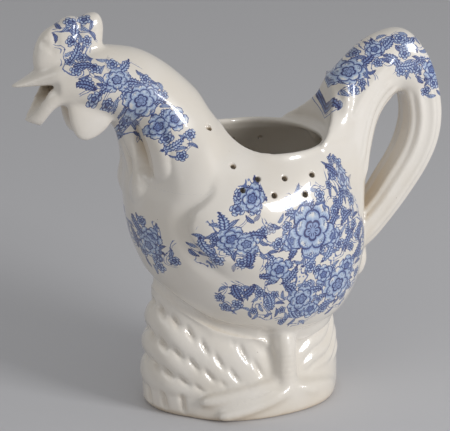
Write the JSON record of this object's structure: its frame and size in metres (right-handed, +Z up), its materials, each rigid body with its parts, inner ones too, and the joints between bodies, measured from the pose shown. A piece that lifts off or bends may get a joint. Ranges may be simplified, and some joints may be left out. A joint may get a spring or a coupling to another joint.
{
  "type": "chicken pitcher",
  "caption": "Glazed earthenware jug in the shape of a crowing hen on a moulded plinth, filled through an opening in its back and poured from its open beak.",
  "frame": {"origin": "on the surface the jug stands on, under the middle of its length and width", "axes": "+Z up, +X from the beak towards the handle, +Y towards the hen's right side"},
  "size_m": [0.2693, 0.124, 0.252],
  "materials": {
    "cream_glaze": "clear glossy glaze over a cream body",
    "printed_glaze": "clear glossy glaze over blue underglaze flowers on a cream body"
  },
  "bodies": {
    "root": {"plinth": "cream_glaze", "left_leg": "cream_glaze", "right_leg": "cream_glaze", "body_shell": "printed_glaze", "left_wing": "printed_glaze", "right_wing": "printed_glaze", "neck": "printed_glaze", "left_hackles": "cream_glaze", "right_hackles": "cream_glaze", "head": "printed_glaze", "comb": "printed_glaze", "upper_beak": "cream_glaze", "lower_beak": "cream_glaze", "left_wattle": "cream_glaze", "right_wattle": "cream_glaze", "tail": "printed_glaze", "rear_tuft": "cream_glaze", "handle": "printed_glaze"}
  },
  "joints": []
}
